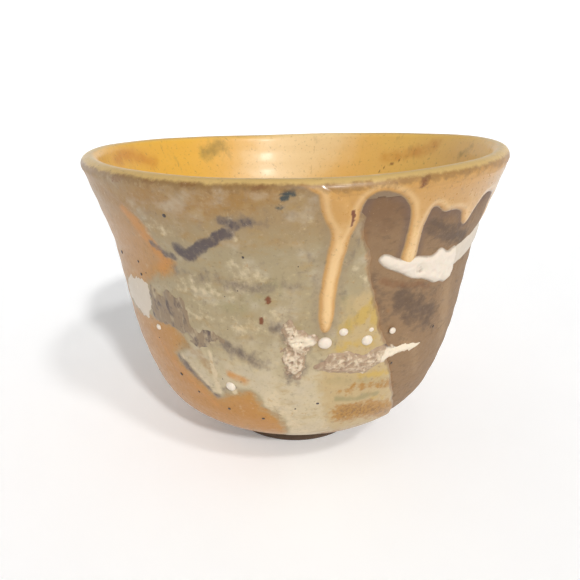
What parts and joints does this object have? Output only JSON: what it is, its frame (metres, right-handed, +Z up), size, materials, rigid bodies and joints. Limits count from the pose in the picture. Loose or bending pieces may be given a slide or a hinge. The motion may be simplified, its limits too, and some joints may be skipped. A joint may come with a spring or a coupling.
{
  "type": "matcha bowl",
  "caption": "Deep round-bottomed stoneware tea bowl on a foot ring, with a flared rim and poured, running glazes over white slip.",
  "frame": {"origin": "centre of the bowl's axis on the plane that it stands on", "axes": "+Z up along the throwing axis; -Y towards the front, where the long honey run is; +X to the front's right"},
  "size_m": [0.115, 0.115, 0.085],
  "materials": {
    "bare_clay": "matt, gritty brown stoneware",
    "foot_clay": "matt, dark scorched stoneware",
    "liner": "satin-gloss cream and amber glaze, speckled and crazed",
    "amber": "satin-gloss amber glaze",
    "ash": "satin grey-green ash glaze, clouded grey-purple",
    "yellow": "satin mottled yellow glaze",
    "honey": "glossy honey glaze, thick and rounded",
    "white_slip": "crumpled satin white slip with pits",
    "grey_slip": "thin satin grey-brown smear"
  },
  "bodies": {
    "root": {"clay_body": "bare_clay", "foot_ring": "foot_clay", "liner_glaze": "liner", "amber_glaze": "amber", "ash_glaze": "ash", "yellow_glaze": "yellow", "honey_collar": "honey", "long_run": "honey", "short_run": "honey", "side_run": "honey", "white_patch": "white_slip", "white_trail": "white_slip", "white_streak": "white_slip", "white_crust": "white_slip", "slip_beads": "white_slip", "white_flash": "white_slip", "grey_smear": "grey_slip"}
  },
  "joints": []
}
